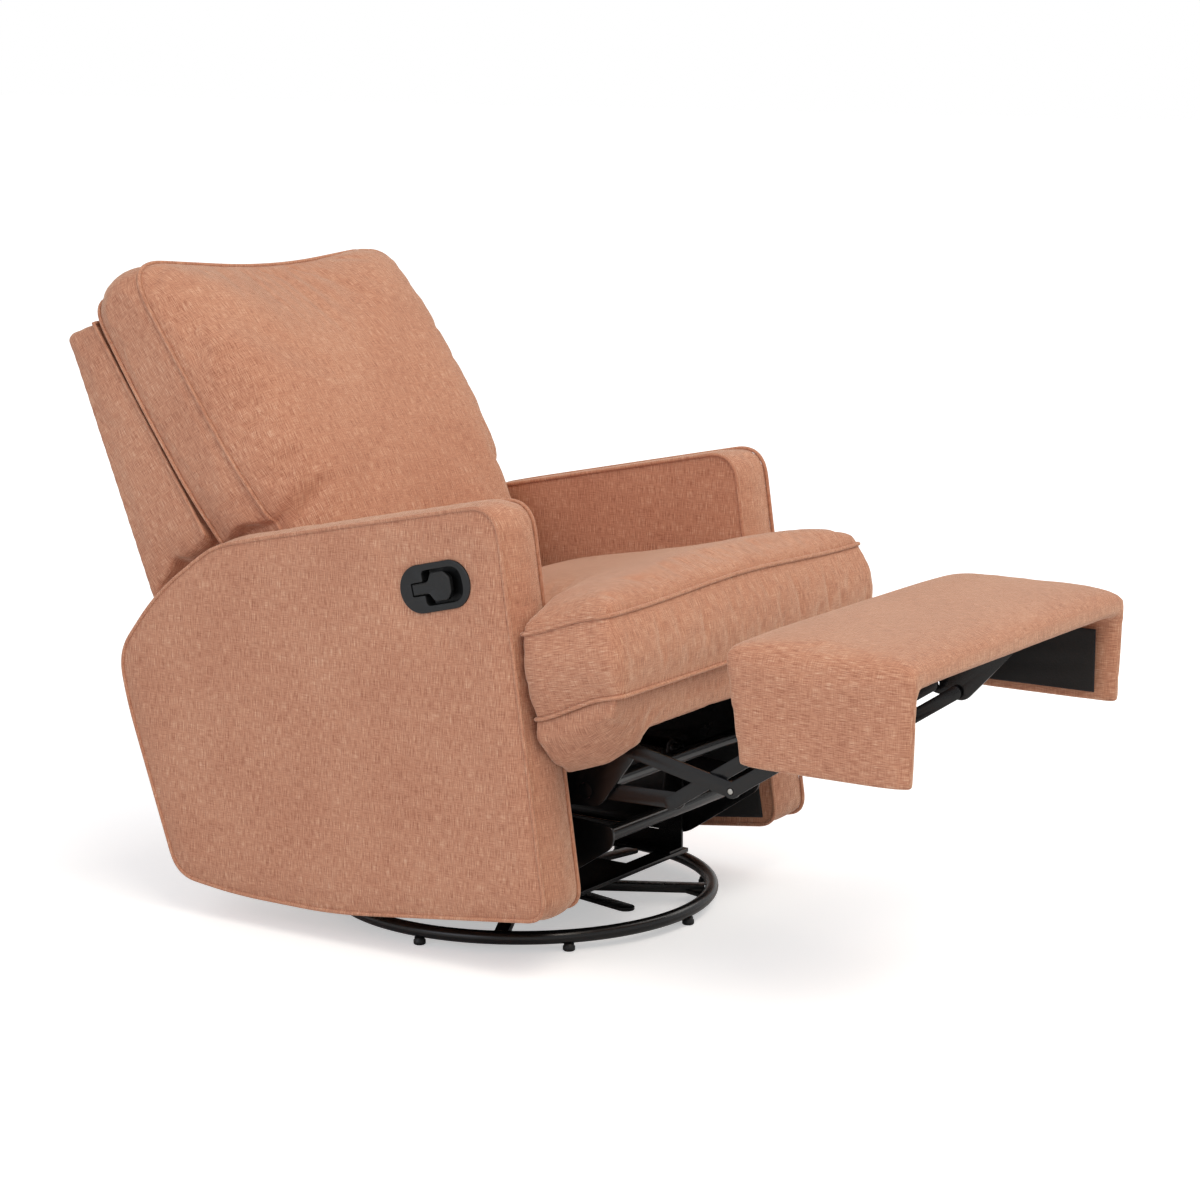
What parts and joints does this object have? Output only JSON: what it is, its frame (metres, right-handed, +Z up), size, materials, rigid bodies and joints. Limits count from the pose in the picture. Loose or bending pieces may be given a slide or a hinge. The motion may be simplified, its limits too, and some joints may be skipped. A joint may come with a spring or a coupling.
{
  "type": "swivel glider recliner",
  "caption": "Padded recliner on a round steel base that swivels and glides, with a pull handle in one arm, a leaning back and a fold-out footrest",
  "frame": {"origin": "on the floor, below the middle of the bounding box", "axes": "+X towards the sitter's left arm, -Y the way the sitter faces, +Z up"},
  "size_m": [0.7132, 1.4428, 0.9436],
  "materials": {
    "woven_upholstery": "slubby plain weave in dusty terracotta, self-piped seams",
    "black_dust_cloth": "non-woven black lining",
    "black_steel": "satin black powder coat",
    "bright_steel": "zinc plated",
    "timber_frame": "sawn softwood",
    "black_plastic": "fine textured moulding",
    "red_nylon": "plain moulding"
  },
  "bodies": {
    "base": {"base_ring": "black_steel", "base_cross": "black_steel", "base_stop_star": "black_steel", "bearing_lower_race": "bright_steel", "swivel_bolt": "bright_steel", "floor_glide_1": "black_plastic", "floor_glide_2": "black_plastic", "floor_glide_3": "black_plastic", "floor_glide_4": "black_plastic", "floor_glide_5": "black_plastic", "floor_glide_6": "black_plastic", "floor_glide_7": "black_plastic", "floor_glide_8": "black_plastic"},
    "swivel": {"bearing_upper_race": "bright_steel", "swivel_plate": "black_steel", "glider_bracket_right": "black_steel", "glider_bracket_left": "black_steel"},
    "front_swing_links": {"front_swing_link_right": "black_steel", "front_swing_link_left": "black_steel"},
    "rear_swing_links": {"rear_swing_link_right": "black_steel", "rear_swing_link_left": "black_steel"},
    "carriage": {"carriage_plate_right": "black_steel", "carriage_plate_left": "black_steel", "carriage_front_tube": "black_steel", "carriage_rear_tube": "black_steel"},
    "chair": {"side_rail_right": "black_steel", "side_rail_left": "black_steel", "seat_side_board_right": "timber_frame", "seat_side_board_left": "timber_frame", "seat_front_board": "timber_frame", "seat_rear_board": "timber_frame", "seat_spring_deck": "black_dust_cloth", "seat_cushion": "woven_upholstery", "apron_front_board": "woven_upholstery", "apron_ear_right": "woven_upholstery", "apron_ear_left": "woven_upholstery", "arm_right": "woven_upholstery", "arm_left": "woven_upholstery", "arm_liner_right": "black_dust_cloth", "arm_liner_left": "black_dust_cloth", "handle_bezel": "black_plastic", "drive_bush_right": "red_nylon", "drive_bush_left": "red_nylon"},
    "handle": {"handle_paddle": "black_plastic"},
    "back": {"back_cushion": "woven_upholstery", "outer_back": "woven_upholstery", "back_hinge_right": "black_steel", "back_hinge_left": "black_steel"},
    "drive": {"drive_shaft": "black_steel"},
    "footrest_rear_links": {"footrest_rear_link_right": "black_steel", "footrest_rear_link_left": "black_steel"},
    "footrest_cross_links": {"footrest_cross_link_right": "black_steel", "footrest_cross_link_left": "black_steel"},
    "footrest_front_links": {"footrest_front_link_right": "black_steel", "footrest_front_link_left": "black_steel"},
    "footrest": {"footrest_board": "woven_upholstery", "footrest_liner_right": "black_dust_cloth", "footrest_liner_left": "black_dust_cloth", "footrest_bracket_right": "black_steel", "footrest_bracket_left": "black_steel"}
  },
  "joints": [
    {"name": "seat_swivel", "type": "hinge", "parent": "base", "child": "swivel", "pos_m": [0.00165, 0.10885, 0.036], "axis": [0, 0, 1], "continuous": true},
    {"name": "glide_swing", "type": "hinge", "parent": "swivel", "child": "front_swing_links", "pos_m": [0.00165, -0.04115, 0.215], "axis": [1, 0, 0], "range_deg": [-12, 12]},
    {"name": "rear_link_swing", "type": "hinge", "parent": "swivel", "child": "rear_swing_links", "pos_m": [0.00165, 0.21885, 0.215], "axis": [1, 0, 0], "range_deg": [-12.5, 12.5]},
    {"name": "carriage_swing", "type": "hinge", "parent": "front_swing_links", "child": "carriage", "pos_m": [0.00165, -0.04115, 0.095], "axis": [1, 0, 0], "range_deg": [-12.5, 12.5]},
    {"name": "body_tilt", "type": "hinge", "parent": "carriage", "child": "chair", "pos_m": [0.00165, 0.10885, 0.2], "axis": [-1, 0, 0], "range_deg": [-1.5, 3]},
    {"name": "handle_pull", "type": "hinge", "parent": "chair", "child": "handle", "pos_m": [-0.35215, 0.03891, 0.53706], "axis": [0, -0.2334, -0.9724], "range_deg": [0, 30], "stiffness_Nm_per_rad": 0.4},
    {"name": "back_recline", "type": "hinge", "parent": "chair", "child": "back", "pos_m": [0.00165, 0.32484, 0.328], "axis": [-1, 0, 0], "range_deg": [-8, 25]},
    {"name": "drive_turn", "type": "hinge", "parent": "chair", "child": "drive", "pos_m": [0.00165, -0.15495, 0.2508], "axis": [1, 0, 0], "range_deg": [-1, 93.24]},
    {"name": "footrest_fold", "type": "hinge", "parent": "chair", "child": "footrest_rear_links", "pos_m": [0.00165, -0.22115, 0.325], "axis": [1, 0, 0], "range_deg": [0, 98.45]},
    {"name": "cross_link_turn", "type": "hinge", "parent": "footrest_rear_links", "child": "footrest_cross_links", "pos_m": [0.00165, -0.36815, 0.293], "axis": [1, 0, 0], "range_deg": [-148.72, 1]},
    {"name": "front_link_turn", "type": "hinge", "parent": "footrest_rear_links", "child": "footrest_front_links", "pos_m": [0.00165, -0.40115, 0.287], "axis": [1, 0, 0], "range_deg": [-148.72, 1]},
    {"name": "footrest_turn", "type": "hinge", "parent": "footrest_front_links", "child": "footrest", "pos_m": [0.00165, -0.49345, 0.3469], "axis": [1, 0, 0], "range_deg": [-1, 134.28]}
  ],
  "couplings": [
    {"joint": "rear_link_swing", "follows": "glide_swing", "ratio": 1},
    {"joint": "carriage_swing", "follows": "glide_swing", "ratio": -1},
    {"joint": "body_tilt", "follows": "back_recline", "ratio": 0.1},
    {"joint": "drive_turn", "follows": "footrest_fold", "ratio": 0.93701},
    {"joint": "cross_link_turn", "follows": "footrest_fold", "ratio": -1.5005},
    {"joint": "front_link_turn", "follows": "footrest_fold", "ratio": -1.5005},
    {"joint": "footrest_turn", "follows": "footrest_fold", "ratio": 1.3538}
  ]
}
